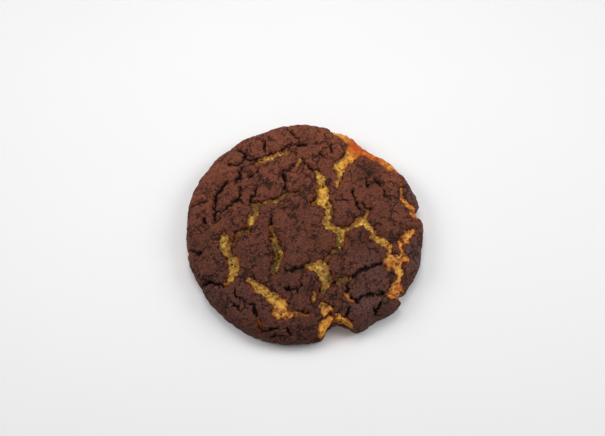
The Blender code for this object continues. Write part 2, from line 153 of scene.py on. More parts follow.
# Cracks that stay brown
CLOSED_CRACKS = (
    (
        (5.5, 38.2, 0.3), (0.3, 37.7, 0.6), (-6, 37.6, 0.6), (-8.7, 35.8, 0.5), (-9.8, 34.2, 0.5),
        (-14.5, 33.3, 0.6), (-16.7, 31.7, 0.5), (-22.8, 30, 0.5), (-25.2, 31, 0.5), (-25.2, 33.5, 0.7),
        (-28.5, 35.8, 1.0), (-29.6, 36, 0.3),
    ),
    ((-31.2, 36.6, 0.7), (-32, 36.9, 0.7)),
    ((-7.2, 47, 0.2), (-5.7, 44.5, 0.5), (-2.9, 41.8, 0.6), (-0.5, 40.5, 0.3)),
    ((-19.7, 41.3, 0.3), (-16.8, 39.5, 0.5), (-16.9, 37.5, 0.5), (-16.7, 34.5, 0.4)),
    ((-31.7, 28.2, 0.5), (-28, 27.7, 0.4), (-26.2, 29.7, 0.3), (-25.2, 30.5, 0.3)),
    ((-26.8, 26, 0.3), (-27.4, 22.8, 0.5), (-26.9, 21.2, 0.7), (-28.5, 20.3, 0.7), (-29.6, 18.3, 0.3)),
    (
        (-32.2, 20.6, 0.4), (-34.5, 16.8, 0.8), (-36.5, 14.2, 0.4), (-37, 11.4, 0.7), (-37.8, 8.7, 0.4),
        (-37, 6.5, 0.5), (-34.5, 5.9, 0.5), (-30, 9.2, 0.5), (-27.6, 11.2, 0.7),
    ),
    ((-37, 6.5, 0.5), (-37.2, 4.2, 0.6), (-37, 2.3, 0.4)),
    (
        (-27, 17.3, 0.5), (-27.3, 12.5, 0.8), (-26, 9.8, 0.4), (-24.3, 7.9, 0.3), (-22, 8.7, 0.4),
        (-20.2, 9.2, 0.5),
    ),
    (
        (-10, 27.7, 0.2), (-9.2, 25.3, 0.4), (-8.5, 21.2, 0.7), (-8, 20, 0.5), (-8.4, 15.8, 0.7),
        (-7.6, 14.2, 0.6),
    ),
    ((-8.8, 25, 0.4), (-6.3, 25, 0.4), (-5, 27, 0.4), (-3, 27.7, 0.5), (-1.5, 30.5, 0.5)),
    ((-2, 15, 0.4), (-5.4, 14.6, 0.6), (-7.5, 14.2, 0.7), (-9.3, 12.1, 0.9)),
    ((-20, 17, 0.3), (-20.3, 13, 0.5), (-21.6, 12.6, 0.4), (-22, 10.3, 0.4)),
    ((-19.3, 28, 0.3), (-20, 24.7, 0.4), (-22, 22.3, 0.5), (-23.5, 21.5, 0.6)),
    ((-47.2, 9, 0.4), (-45, 10, 0.5), (-41.5, 10, 0.3)),
    ((-41.7, 3.2, 0.6), (-41.4, 1.3, 0.8), (-40.3, 0.6, 0.4)),
    ((-38, 0.2, 0.3), (-36.3, 1, 0.4), (-34.5, 2.2, 0.3)),
    ((-43, -2.2, 0.2), (-41, -1, 0.4)),
    ((-50, -9.5, 0.5), (-47, -11.5, 0.4), (-43.3, -13.3, 0.8), (-41.5, -12, 0.4)),
    ((-41, -27, 0.8), (-40.5, -25, 0.5)),
    ((-44.5, -26.5, 0.5), (-40, -26.3, 0.5), (-37.7, -26, 0.9), (-34.3, -26.5, 0.6), (-32.7, -27.7, 0.4)),
    (
        (-28.1, -28.9, 0.4), (-27.5, -32, 0.5), (-25, -32.8, 0.5), (-23, -34.6, 0.4), (-20.3, -35.3, 0.5),
        (-19.6, -37.4, 0.5), (-18.3, -41.6, 0.5),
    ),
    ((-30.2, -32.7, 0.2), (-28.4, -35, 0.5), (-26.8, -36.8, 0.4), (-25.7, -38, 0.2)),
    ((-32.8, -32.6, 0.2), (-34.5, -34.5, 0.4)),
    ((-17.2, -47, 0.3), (-13.6, -46, 0.5), (-11, -45.4, 0.6)),
    ((-12.6, -48.4, 0.4), (-8, -48, 0.4)),
    ((-6.7, -44.6, 0.3), (-6.3, -46.3, 0.6), (-5.3, -47.8, 0.3)),
    ((-8.3, -20.2, 0.5), (-5.5, -21.2, 0.6), (-3, -20.2, 0.5), (1, -19.3, 0.7)),
    ((-9, -27.7, 0.5), (-5.6, -28.9, 0.6), (-3, -28.9, 0.6), (-0.9, -27.2, 0.5)),
    ((15, -9, 0.8), (14.7, -10.8, 0.8), (11.3, -12.9, 0.8), (10, -14.5, 0.8), (7.5, -17.5, 0.8)),
    (
        (9, -26.5, 0.4), (12, -26.5, 0.5), (17.3, -24.2, 0.9), (20, -22.9, 0.7), (22.8, -21.5, 0.8),
        (25.1, -20.4, 0.6), (27.8, -19.1, 0.7), (30.6, -18.2, 0.6), (34, -16.4, 0.6),
    ),
    ((17.5, -26.5, 0.4), (17.7, -28, 0.8), (16.7, -30.3, 0.7), (19.2, -33.2, 0.7), (21.5, -33.3, 1.0)),
    (
        (21.5, -33.3, 1.0), (24, -31.8, 0.6), (26.6, -30.9, 0.9), (29.3, -31.2, 0.6), (31.5, -30.5, 0.5),
        (35, -30.4, 0.6),
    ),
    ((18.6, -36, 0.4), (17.2, -38.7, 0.7), (16.5, -40, 0.7), (18.5, -43, 0.5)),
    ((31, -33.5, 0.4), (30, -36, 0.7), (28.5, -37.3, 0.5), (29.8, -39.7, 0.6)),
    ((20.2, 15.4, 0.4), (21.2, 12.2, 0.7), (22.5, 8.7, 0.5), (23.4, 6.8, 0.4)),
    ((24.2, 9.4, 0.4), (25.5, 8, 0.5), (27.3, 6.5, 0.5), (29, 6.8, 0.3)),
    ((25.9, 21.6, 0.3), (26.6, 18.8, 0.5), (27.5, 16.4, 0.3)),
    (
        (28.7, 22.9, 0.3), (30, 20.8, 0.7), (32, 19.2, 0.8), (33.5, 16.4, 0.6), (33.7, 13.2, 0.6),
        (36.2, 11.7, 0.7), (37.5, 11.3, 0.3),
    ),
    ((6.1, 33.5, 0.3), (7.5, 32.2, 0.5), (9.7, 30.3, 0.3)),
    ((0.2, 29, 0.3), (2, 26, 0.7), (4.8, 24.4, 0.6), (7, 22.9, 0.5)),
    ((11.6, 38.7, 0.3), (12, 35.3, 0.5), (12.3, 33.2, 0.3)),
    ((-13.7, 4.4, 0.3), (-13.7, 2.4, 0.4), (-13.9, -1, 0.5)),
)

# Torn places: notches through the whole height, and the back right where the crust's rim broke off
NOTCHES = (
    ((54, 13.5), (49.3, 10.4), (47.0, 8.3), (46.6, 5.0), (48.4, 3.4), (50.2, 2.5), (54, 1)),
    (
        (46, -27), (42.4, -28.3), (40.6, -29.1), (39.2, -28.9), (37.8, -30.9), (38.3, -32.1), (39.9, -33.4),
        (44, -37),
    ),
    (
        (4, -56), (7, -48.2), (9.4, -44.3), (12, -41.4), (15, -41.8), (18.2, -42.8), (21, -45), (24, -49),
        (24, -56),
    ),
)
BROKEN_RIM = (
    (11.2, 44.8), (15.4, 41.6), (18.3, 38.4), (23.8, 33.0), (29, 30.8), (32.8, 28.0), (37, 26.2),
    (41, 24.6), (54, 33), (38, 52), (12, 56),
)

# Plates that stand proud or lie sunken: x, y, half length, half width, turn in degrees, height
BULGES = (
    (25.0, -2.5, 10.5, 6.5, 12.0, 0.45),
    (27.0, -21.0, 10.0, 5.0, 20.0, 0.55),
    (26.0, -34.5, 11.0, 5.5, 28.0, 0.5),
    (-1.0, 3.0, 14.0, 13.0, 0.0, 0.15),
    (27.5, 25.5, 5.5, 4.5, 20.0, -0.7),
)

# Parts of the crust with painted shade or a painted sheen, and parts of the crumb that are brighter or
# darker:
# x, y, reach, share
# Painted shade: plates that lie sunken or slope away from the light are drawn darker
SHADE_PLACES = ((27.5, 25.5, 10.0, 0.9), (25.0, -3.0, 14.0, 0.6))
# Painted sheen: a cool grey tone where light glances off the plates and rim on the right
SHEEN_PLACES = (
    (27.0, -21.0, 14.0, 0.6), (26.0, -35.0, 15.0, 0.9), (47.0, -14.0, 15.0, 1.0), (46.0, 12.0, 12.0, 0.9),
    (-30.0, -30.0, 16.0, 0.3),
)
BRIGHT_CRUMB = (
    (17.0, 30.0, 14.0, 0.6), (8.0, 14.0, 12.0, 0.3), (8.5, -46.0, 9.0, 1.0), (16.0, -44.0, 6.0, 0.9),
    (13.0, 42.0, 8.0, 0.9),
)
DIM_CRUMB = (
    (-31.0, -14.0, 15.0, 0.5), (7.0, -24.0, 11.0, 0.65), (13.0, -3.0, 6.0, 0.4),
    (-15.0, -31.0, 12.0, 0.35), (38.0, -18.0, 9.0, 0.2),
)

# About this x in the bottom notch, in front of this y, the torn wall is brown up to this height
BROWN_WALL_X = 12.2
BROWN_WALL_REACH = 2.8
BROWN_WALL_Y = -35
BROWN_WALL_LIP = 8.6

# The filling: how far its side lies inside the outline, and where it comes out to the edge
SIDE_MEAN = 3.0
SIDE_SWING = 1.6
SIDE_THIN_AT = math.radians(-5)
BARE_SIDES = (
    (math.radians(55), math.radians(28)),
    (math.radians(7), math.radians(9)),
    (math.radians(-38), math.radians(8)),
    (math.radians(-75), math.radians(14)),
)
FILLING_SETBACK = 0.5
# Painted shadow: the crumb is drawn darker where a step this way, to the back left, meets the crust, as if in
# the crust wall's shadow
WALL_SHADOW_STEP = (-0.7, 0.9, 0.0)

# Grid: cells across the crust, rows down the lower side, rows across the base
CRUST_CELLS = 280
CRUST_ROWS = 12
FILLING_CELLS = 270
FILLING_ROWS = 10
BASE_ROWS = 4
# The course along the grid at which the flat top ends, and how far in over the base the last row lies
FLAT_PART = 0.82
BASE_REACH = 0.9

# Relief of the crust: plates between fine cracks, lumps and grain on them, crevices, pits, windows
PLATE_SIZE = 8.0
PLATE_STEP = 0.4
PLATE_DOME = 0.45
LUMP_SIZE = 3.0
LUMP_HEIGHT = 0.34
GRAIN_SIZE = 1.5
GRAIN_HEIGHT = 0.24
CREVICE_DEPTH = 0.35
PIT_SPACING = 2.4
PIT_DEPTH = 0.5
GROOVE_DEPTH = 1.5
WINDOW_DEPTH = 4.4
SETTLING = 0.2
# Height, size and seed of the swells that run over the plates
SWELLS = ((0.45, 13.0, 81), (0.30, 5.5, 91))
# How far the crust sinks at the edge of a window or groove, and over what distance it comes up again
WINDOW_SHOULDER = (0.7, 0.9)
GROOVE_SHOULDER = (0.4, 1.1)
WIDE_SHOULDER = (0.3, 3.0)
# The lip under the filling fades this far above and below its height
LIP_OVER = 0.8
LIP_UNDER = 0.4

# Relief of the filling
FILLING_COVER = 1.1
SPONGE_SIZE = 1.9
SPONGE_HEIGHT = 0.6
CRUMB_SIZE = 1.8
CRUMB_HEIGHT = 0.4
HOLE_SPACING = 2.2
HOLE_DEPTH = 0.9
WINDOW_SAG = 0.6
DEEP_SAG = 1.0
BURIED_SAG = 1.8

# The crumb's peaks stay under this height
HIGHEST = 11.8

# A distance longer than any here, and the longest that is handed to the materials
FAR = 99.0
SIGHT = 6.0


# Repeatable noise


def hashed(cell, seed):
    """A repeatable value from 0 to 1 for each cell of a cubic lattice."""
    n = cell[..., 0] * 374761393 + cell[..., 1] * 668265263 + cell[..., 2] * 974634777 + seed * 144665
    n = n & 0xFFFFFFFF
    n = ((n ^ (n >> 13)) * 1274126177) & 0xFFFFFFFF
    return ((n ^ (n >> 16)) & 0xFFFFFF) / float(0xFFFFFF)


def lumps(points, size, seed):
    """Smooth noise from -1 to 1 whose lumps are about this size across."""
    scaled = points / size
    cell = np.floor(scaled).astype(np.int64)
    part = scaled - cell
    ease = part * part * part * (part * (part * 6 - 15) + 10)
    total = np.zeros(len(points))
    for step in np.ndindex(2, 2, 2):
        weight = np.prod(np.where(step, ease, 1 - ease), axis=1)
        total += weight * hashed(cell + np.array(step), seed)
    return 2 * total - 1


def rough(points, size, seed, octaves):
    """Lumps with ever finer lumps on them, about -1 to 1."""
    return sum(lumps(points, size / 2**k, seed + k) / 2**k for k in range(octaves)) / 1.6


def cells(points, size, seed):
    """Distance to the nearest of points scattered one to a cube, how much further the next one is,
    both in cube sizes, and a value from 0 to 1 that is the same all round the nearest one."""
    scaled = points / size
    cell = np.floor(scaled).astype(np.int64)
    first = np.full(len(points), FAR)
    second = np.full(len(points), FAR)
    value = np.zeros(len(points))
    for step in np.ndindex(3, 3, 3):
        here = cell + np.array(step) - 1
        spot = here + np.stack([hashed(here, seed + k) for k in range(3)], axis=1)
        gap = np.linalg.norm(spot - scaled, axis=1)
        second = np.minimum(second, np.maximum(first, gap))
        value = np.where(gap < first, hashed(here, seed + 3), value)
        first = np.minimum(first, gap)
    return first, second - first, value


def bent(points, amount, size, seed):
    """The points shaken about by noise, so that what is read on them comes out crooked."""
    return points + amount * np.stack([rough(points, size, seed + k, 3) for k in range(3)], axis=1)


def ramp(low, high, value):
    """0 below low, 1 above high, smooth between."""
    share = np.clip((value - low) / (high - low), 0, 1)
    return share * share * (3 - 2 * share)


# The smooth form


def bell(share):
    return 0.5 + 0.5 * np.cos(np.pi * np.minimum(1.0, np.abs(share)))


def turn_between(angle, middle):
    return (angle - middle + np.pi) % (2 * np.pi) - np.pi


def outline(angle):
    """Radius of the cookie at its widest, before the notches."""
    dips = sum(depth * bell(turn_between(angle, at) / reach) for at, depth, reach in DIPS)
    wave = 0.25 * np.sin(5 * angle + 1.0) + 0.15 * np.sin(11 * angle + 2.2)
    return RADIUS - dips + wave


def bareness(angle):
    """1 where the filling comes out to the edge, 0 where the shell's side covers it."""
    return np.max([bell(turn_between(angle, at) / reach) for at, reach in BARE_SIDES], axis=0)


def filling_inset(angle):
    covered = SIDE_MEAN - SIDE_SWING * np.cos(angle - SIDE_THIN_AT)
    return covered + (FILLING_SETBACK - covered) * bareness(angle)


def crown(share):
    return THICKNESS - CROWN_SAG * share * share


def notch_radius(angle):
    """How far out the dough goes at each angle before it meets a notch."""
    nearest = np.full(len(angle), FAR)
    ray = np.stack([np.cos(angle), np.sin(angle)], axis=1)
    for plan in NOTCHES:
        corners = np.array(plan)
        for start, end in zip(corners, np.roll(corners, -1, axis=0)):
            side = end - start
            turn = ray[:, 0] * side[1] - ray[:, 1] * side[0]
            turn = np.where(np.abs(turn) < 1e-9, 1e-9, turn)
            reach = (start[0] * side[1] - start[1] * side[0]) / turn
            share = (start[0] * ray[:, 1] - start[1] * ray[:, 0]) / turn
            met = (share >= 0) & (share <= 1) & (reach > 0)
            nearest = np.where(met, np.minimum(nearest, reach), nearest)
    return nearest


# Distances on the plan


def crack_field(plan, cracks):
    """Distance to the nearest edge of these cracks, negative inside one."""
    nearest = np.full(len(plan), FAR)
    for stations in cracks:
        for (ax, ay, a_half), (bx, by, b_half) in zip(stations, stations[1:]):
            along = np.array((bx - ax, by - ay))
            offset = plan - (ax, ay)
            share = np.clip(offset @ along / (along @ along), 0, 1)
            gap = np.linalg.norm(offset - share[:, None] * along, axis=1)
            nearest = np.minimum(nearest, gap - a_half - (b_half - a_half) * share)
    return nearest


def polygon_field(plan, polygon):
    """Distance to a polygon's edge, negative inside."""
    corners = np.array(polygon, float)
    nearest = np.full(len(plan), FAR)
    inside = np.zeros(len(plan), bool)
    for start, end in zip(corners, np.roll(corners, -1, axis=0)):
        along = end - start
        offset = plan - start
        share = np.clip(offset @ along / (along @ along), 0, 1)
        nearest = np.minimum(nearest, np.linalg.norm(offset - share[:, None] * along, axis=1))
        crosses = (start[1] > plan[:, 1]) != (end[1] > plan[:, 1])
        rise = along[1] if abs(along[1]) > 1e-9 else 1e-9
        inside ^= crosses & (plan[:, 0] < start[0] + along[0] * (plan[:, 1] - start[1]) / rise)
    return np.where(inside, -nearest, nearest)


def ragged(points, coarse, fine, seed):
    """The plan of these points shaken about by two noises of (amount, size), for ragged edges."""
    shift = np.zeros((len(points), 2))
    for step, (amount, size) in enumerate((coarse, fine)):
        for axis in range(2):
            shift[:, axis] += amount * rough(points, size, seed + 20 * step + 50 * axis, 3)
    return points[:, :2] + shift


def window_field(points):
    """Distance to the nearest opening in the crust, negative inside one, and how deep it is, 0 to 1."""
    plan = ragged(points, (0.9, 3.2), (1.1, 1.3), 11)
    shallow = np.minimum(crack_field(plan, OPEN_CRACKS), polygon_field(plan, BROKEN_RIM))
    deep = crack_field(plan, DEEP_CRACKS)
    lobe, _, _ = cells(points, 1.9, 31)
    torn = 1.2 * (0.42 - lobe) + 0.3 * rough(points, 0.8, 17, 1)
    return np.minimum(shallow, deep) + torn, ramp(-0.6, 0.6, shallow - deep)


def closed_field(points):
    """Distance to the nearest crack that stays brown, negative inside one."""
    plan = ragged(points, (0.5, 3.0), (1.0, 1.2), 21)
    pinched = 0.14 + 0.18 * ramp(10, 25, points[:, 0]) * ramp(-5, 5, points[:, 1])
    return crack_field(plan, CLOSED_CRACKS) + pinched + 0.3 * lumps(points, 2.2, 25)


def bulges(plan):
    """Height of the loaf-shaped plates, and the depth of the sunken ones where it is negative."""
    total = np.zeros(len(plan))
    for x, y, half_length, half_width, turn, height in BULGES:
        across = np.array((math.cos(math.radians(turn)), math.sin(math.radians(turn))))
        offset = plan - (x, y)
        along = offset @ across / half_length
        aside = (offset[:, 1] * across[0] - offset[:, 0] * across[1]) / half_width
        total += height * np.clip(1.25 * (1 - along**2 - aside**2), 0, 1) ** 0.7
    return total


def near(points, places):
    """How much each point belongs to these round places, by their share."""
    plan = points[:, :2]
    shares = [bell(np.hypot(*(plan - (x, y)).T) / reach) * share for x, y, reach, share in places]
    return np.max(shares, axis=0)


def below(lip, points):
    """1 under this lip, 0 over it."""
    return ramp(lip + LIP_OVER, lip - LIP_UNDER, points[:, 2])


def sinking(field, drop, reach):
    """How far the crust sinks beside a crack whose distance field this is."""
    return drop * np.exp(-np.maximum(field, 0) / reach)


# The grid


def round_map(u, v):
    """Points of the square from -1 to 1 as (share of the radius, angle) of a disc, evenly spread."""
    wide = np.abs(u) >= np.abs(v)
    safe_u = np.where(u == 0, 1e-12, u)
    safe_v = np.where(v == 0, 1e-12, v)
    across = np.pi / 4 * (v / safe_u) + np.where(u < 0, np.pi, 0)
    upright = np.pi / 2 - np.pi / 4 * (u / safe_v) + np.where(v < 0, np.pi, 0)
    return np.where(wide, np.abs(u), np.abs(v)), np.where(wide, across, upright)


def disc_grid(across, down):
    """(course, angle, faces) of a closed grid: course 0 to 1 runs over the top to the widest point,
    1 to 2 down the lower side and 2 to 3 in over the base."""
    line = np.linspace(-1, 1, across + 1)
    u, v = np.meshgrid(line, line, indexing="ij")
    course, angle = round_map(u.ravel(), v.ravel())
    index = np.arange((across + 1) ** 2).reshape(across + 1, across + 1)
    quads = np.stack([index[:-1, :-1], index[1:, :-1], index[1:, 1:], index[:-1, 1:]], axis=-1)
    faces = quads.reshape(-1, 4).tolist()
    rim = np.concatenate([index[:-1, 0], index[-1, :-1], index[:0:-1, -1], index[0, :0:-1]])
    ring = rim
    steps = [1 + k / down for k in range(1, down + 1)]
    steps += [2 + k / BASE_ROWS * BASE_REACH for k in range(1, BASE_ROWS + 1)]
    for step in steps:
        lower = np.arange(len(rim)) + len(course)
        course = np.append(course, np.full(len(rim), step))
        angle = np.append(angle, angle[rim])
        around = np.stack([np.roll(ring, -1), ring, lower, np.roll(lower, -1)], axis=1)
        faces += around.tolist()
        ring = lower
    centre = len(course)
    course = np.append(course, 3.0)
    angle = np.append(angle, 0.0)
    faces += [(a, b, centre) for a, b in zip(np.roll(ring, -1).tolist(), ring.tolist())]
    return course, angle, faces


def smooth_form(course, angle, radius, top, bottom):
    """Points and outward directions of a domed disc: top(share) is its height, bottom its flat base."""
    edge = 1 - UPPER_ROUNDING
    shoulder = top(edge)
    waist = bottom + (shoulder - bottom) * WIDEST_HEIGHT / THICKNESS
    tilt = np.select(
        [course <= FLAT_PART, course <= 1, course <= 2],
        [np.pi / 2, np.pi / 2 * (1 - course) / (1 - FLAT_PART), -np.pi / 2 * (course - 1)],
        -np.pi / 2,
    )
    upper = tilt >= 0
    rounding = np.where(upper, UPPER_ROUNDING, LOWER_ROUNDING)
    share = 1 - rounding * (1 - np.cos(tilt))
    share = np.where(course <= FLAT_PART, edge * course / FLAT_PART, share)
    share = np.where(course > 2, (1 - LOWER_ROUNDING) * (3 - course), share)
    rise = np.where(upper, shoulder - waist, waist - bottom)
    height = np.where(course <= FLAT_PART, top(share), waist + rise * np.sin(tilt))
    outward = np.stack([np.cos(angle), np.sin(angle)], axis=1)
    points = np.column_stack([outward * (share * radius)[:, None], height])
    facing = np.column_stack([outward * np.cos(tilt)[:, None], np.sin(tilt)])
    return points, facing


def cut_notches(points, facing, angle, margin):
    """Points beyond a notch's wall are drawn in to it, and face outwards there."""
    wall = notch_radius(angle) + margin
    reach = np.hypot(points[:, 0], points[:, 1])
    beyond = reach > wall
    scale = np.where(beyond, wall / np.maximum(reach, 1e-6), 1.0)
    points[:, :2] *= scale[:, None]
    outward = np.column_stack([np.cos(angle), np.sin(angle), np.zeros(len(angle))])
    facing[beyond] = outward[beyond]
    return beyond


def make_piece(name, points, faces, marks):
    """A mesh object from points in millimetres; each mark is a value at every point, for its material."""
    mesh = bpy.data.meshes.new(name)
    mesh.from_pydata((points * MM).tolist(), [], faces)
    for mark, values in marks.items():
        layer = mesh.attributes.new(mark, "FLOAT", "POINT")
        layer.data.foreach_set("value", values.astype(np.float32))
    mesh.shade_smooth()
    mesh.update()
    piece = bpy.data.objects.new(name, mesh)
    bpy.context.scene.collection.objects.link(piece)
    return piece


# The crust and base


def crust_piece():
    course, angle, faces = disc_grid(CRUST_CELLS, CRUST_ROWS)
    points, facing = smooth_form(course, angle, outline(angle), crown, 0.0)
    base = course > 2
    low = below(BASE_LIP, points)
    walled = cut_notches(points, facing, angle, 0.3 - 0.4 * low + 0.5 * rough(points, 2.2, 301, 3))
    brown_wall = bell((points[:, 0] - BROWN_WALL_X) / BROWN_WALL_REACH) * (points[:, 1] < BROWN_WALL_Y)
    lip = BASE_LIP + (BROWN_WALL_LIP - BASE_LIP) * np.where(walled, brown_wall, 0.0)
    above_lip = 1 - below(lip, points)

    window, _ = window_field(points)
    closed = closed_field(points)
    opening = 1 - ramp(-0.35, 0.35, window)
    groove = 1 - ramp(-0.3, 0.3, closed)
    pit_near, _, _ = cells(points, PIT_SPACING, 71)
    pit = (1 - ramp(0.1, 0.22, pit_near)) * ramp(0.0, 0.3, lumps(points, 5.0, 75))

    # Crevices run between plates and between lumps, and fade out in places
    crooked = bent(bent(points, 0.5, 1.0, 146), 1.5, 3.4, 141)
    plate_middle, plate_edge, plate_height = cells(crooked, PLATE_SIZE, 151)
    plate_edge = plate_edge * PLATE_SIZE / 2 + 1.5 * ramp(0.4, 0.0, lumps(points, 6.0, 161))
    lump_middle, lump_edge, _ = cells(bent(points, 0.7, 1.8, 171), LUMP_SIZE, 181)
    lump_edge = lump_edge * LUMP_SIZE / 2 + 1.5 * ramp(0.5, 0.1, lumps(points, 4.0, 191))
    crevice = np.maximum(1 - ramp(0.0, 0.3, plate_edge), 0.7 * (1 - ramp(0.0, 0.25, lump_edge)))

    swell = sum(height * rough(points, size, seed, 2) for height, size, seed in SWELLS)
    swell = swell + bulges(points[:, :2])
    swell += PLATE_STEP * (plate_height - 0.5) + PLATE_DOME * (0.3 - plate_middle**2)
    grain = GRAIN_HEIGHT * rough(points, GRAIN_SIZE, 101, 3) + LUMP_HEIGHT * (0.4 - lump_middle**2)
    grain = grain - CREVICE_DEPTH * crevice
    shoulder = sinking(window, *WINDOW_SHOULDER) + sinking(closed, *GROOVE_SHOULDER)
    shoulder += sinking(np.minimum(window, closed), *WIDE_SHOULDER)
    sunk = shoulder + np.maximum(GROOVE_DEPTH * groove, PIT_DEPTH * pit)
    sunk = np.maximum(sunk, WINDOW_DEPTH * opening * above_lip)
    sunk *= 0.25 + 0.75 * above_lip
    move = np.where(base, 0.0, (swell - SETTLING) * (0.3 + 0.7 * above_lip) + grain - sunk)
    points += facing * move[:, None]
    points[:, 2] = np.where(base, 0.0, np.clip(points[:, 2], 0.0, HIGHEST))

    # Under the lip there is no window, so nothing is toasted there
    edge = window + (SIGHT - window) * low
    marks = {
        "window": np.where(base, SIGHT, np.clip(edge, -SIGHT, SIGHT)),
        "closed": np.where(base, SIGHT, np.clip(closed, -SIGHT, SIGHT)),
        # The pits are also drawn dark, as painted shade
        "pit": pit,
        "crevice": np.minimum(plate_edge, lump_edge + 0.1),
        # Painted shade: share of the darker crust, rising towards the front
        "front_shade": ramp(RADIUS, -RADIUS, points[:, 1]),
        # Painted sheen on the right side's plates and rim
        "sheen": near(points, SHEEN_PLACES),
        # Painted shade on plates that lie sunken or slope away from the light
        "painted_shade": near(points, SHADE_PLACES),
        "smear": np.where(base, 0, 1) * low * (1 - ramp(-1.0, 2.4, window)),
    }
    return make_piece("crust_and_base", points, faces, marks)


# The filling


def filling_piece():
    course, angle, faces = disc_grid(FILLING_CELLS, FILLING_ROWS)
    radius = outline(angle) - filling_inset(angle)
    points, facing = smooth_form(course, angle, radius, lambda share: crown(share) - FILLING_COVER, BASE_LIP)
    walled = cut_notches(points, facing, angle, -0.35 + 0.4 * rough(points, 2.5, 311, 3))
    reach = np.hypot(points[:, 0], points[:, 1])
    base = course > 2

    window, deep = window_field(points)
    behind, _ = window_field(points + WALL_SHADOW_STEP)
    buried = ramp(0.2, 1.1, window) * np.where(walled, 0, 1)
    inside = ramp(0.0, 1.5, -window)
    flush = ramp(28, 42, points[:, 0])
    crumb, _, _ = cells(bent(points, 0.5, 1.5, 241), SPONGE_SIZE, 201)
    hole_near, _, _ = cells(points, HOLE_SPACING, 211)
    hole = (1 - ramp(0.16, 0.3, hole_near)) * ramp(-0.3, 0.3, lumps(points, 3.5, 215))
    sponge = CRUMB_HEIGHT * rough(points, CRUMB_SIZE, 221, 3) + SPONGE_HEIGHT * (0.45 - crumb**2)
    sunk = WINDOW_SAG * inside * (1 - 0.6 * flush) + DEEP_SAG * deep + HOLE_DEPTH * hole + BURIED_SAG * buried
    points += facing * np.where(base, 0.0, sponge - sunk)[:, None]
    points[:, 2] = np.maximum(points[:, 2], BASE_LIP - 0.2)

    turn = np.degrees(angle)
    right = ramp(30, 42, reach) * ramp(-15, 30, points[:, 0])
    marks = {
        "window": np.clip(window, -SIGHT, SIGHT),
        # Painted shade in the holes and in the hollows between crumbs
        "hole": np.maximum(hole, 0.6 * ramp(0.5, 0.95, crumb)),
        "orange": np.maximum(right, ramp(-30, -42, points[:, 1])),
        "scorched": ramp(37.5, 41.5, reach) * ramp(38, 46, turn) * ramp(67, 60, turn),
        "deep": deep,
        # Painted shadow of the crust's wall, to the back left
        "wall_shadow": ramp(-0.6, 0.5, behind) * (1 - 0.6 * flush),
        "bright": near(points, BRIGHT_CRUMB),
        "dim": near(points, DIM_CRUMB),
    }
    return make_piece("filling_crumb", points, faces, marks)


# Materials

# Colours as they show on screen, 0 to 255; a pair is mixed in patches
# Painted light and shade: the crust is drawn lighter towards the back and darker towards the front, where
# less light falls
CRUST_LIT = ((114, 62, 44), (136, 74, 51))
CRUST_SHADED = ((66, 37, 30), (84, 47, 37))
CRUST_PLUM = (66, 38, 36)
# Painted sheen: a cool grey tone
CRUST_SHEEN = (88, 61, 57)
# Painted shade for those plates
CRUST_SHADE = (64, 35, 24)
# Painted shade in crevices, hairline cracks, closed cracks and pits
CRUST_TOASTED = (116, 50, 18)
CRUST_CREVICE_SHADE = (20, 11, 8)
CRUST_SMEAR = (142, 80, 32)
CRUMB_GOLDEN = ((150, 110, 36), (222, 168, 64))
CRUMB_ORANGE = ((178, 92, 26), (226, 140, 48))
CRUMB_BRIGHT = (246, 170, 56)
CRUMB_DIM = (116, 82, 32)
# Painted shadow of the crust's wall on the crumb
CRUMB_WALL_SHADOW = (104, 82, 30)
# Painted shade deep in narrow cracks
CRUMB_DEEP_SHADE = (80, 68, 28)
CRUMB_SCORCHED = ((180, 66, 2), (212, 106, 8))
CRUMB_RIM = (130, 62, 18)
# Painted shade in holes and hollows
CRUMB_HOLE_SHADE = (66, 46, 14)
# The floor's two tones, in linear light
FLOOR_TONES = ((0.90, 0.90, 0.905, 1), (0.91, 0.91, 0.91, 1))

# Specks: size in millimetres, detail and seed of the noise, where they start and are full, share, colour
CRUST_SPECKS = (
    (0.75, 3, 4.0, 0.50, 0.66, 0.45, (152, 82, 46)),
    (1.0, 2, 9.0, 0.52, 0.62, 0.5, CRUST_PLUM),
    (0.8, 2, 15.0, 0.59, 0.66, 0.8, (38, 19, 14)),
)
# Pale specks are painted highlights, the darkest are painted shade of small pits, the middle ones are the
# crumb's own tone
CRUMB_SPECKS_HIGHLIGHTS_AND_SHADE = (
    (1.8, 2, 53.0, 0.54, 0.66, 0.6, (244, 198, 92)),
    (1.7, 2, 3.0, 0.54, 0.66, 0.6, (128, 84, 26)),
    (1.5, 1, 63.0, 0.65, 0.68, 0.8, (62, 46, 18)),
)

# Sockets of the mix node for two colours and for its result
MIX_LOW = 6
MIX_HIGH = 7
MIX_RESULT = 2


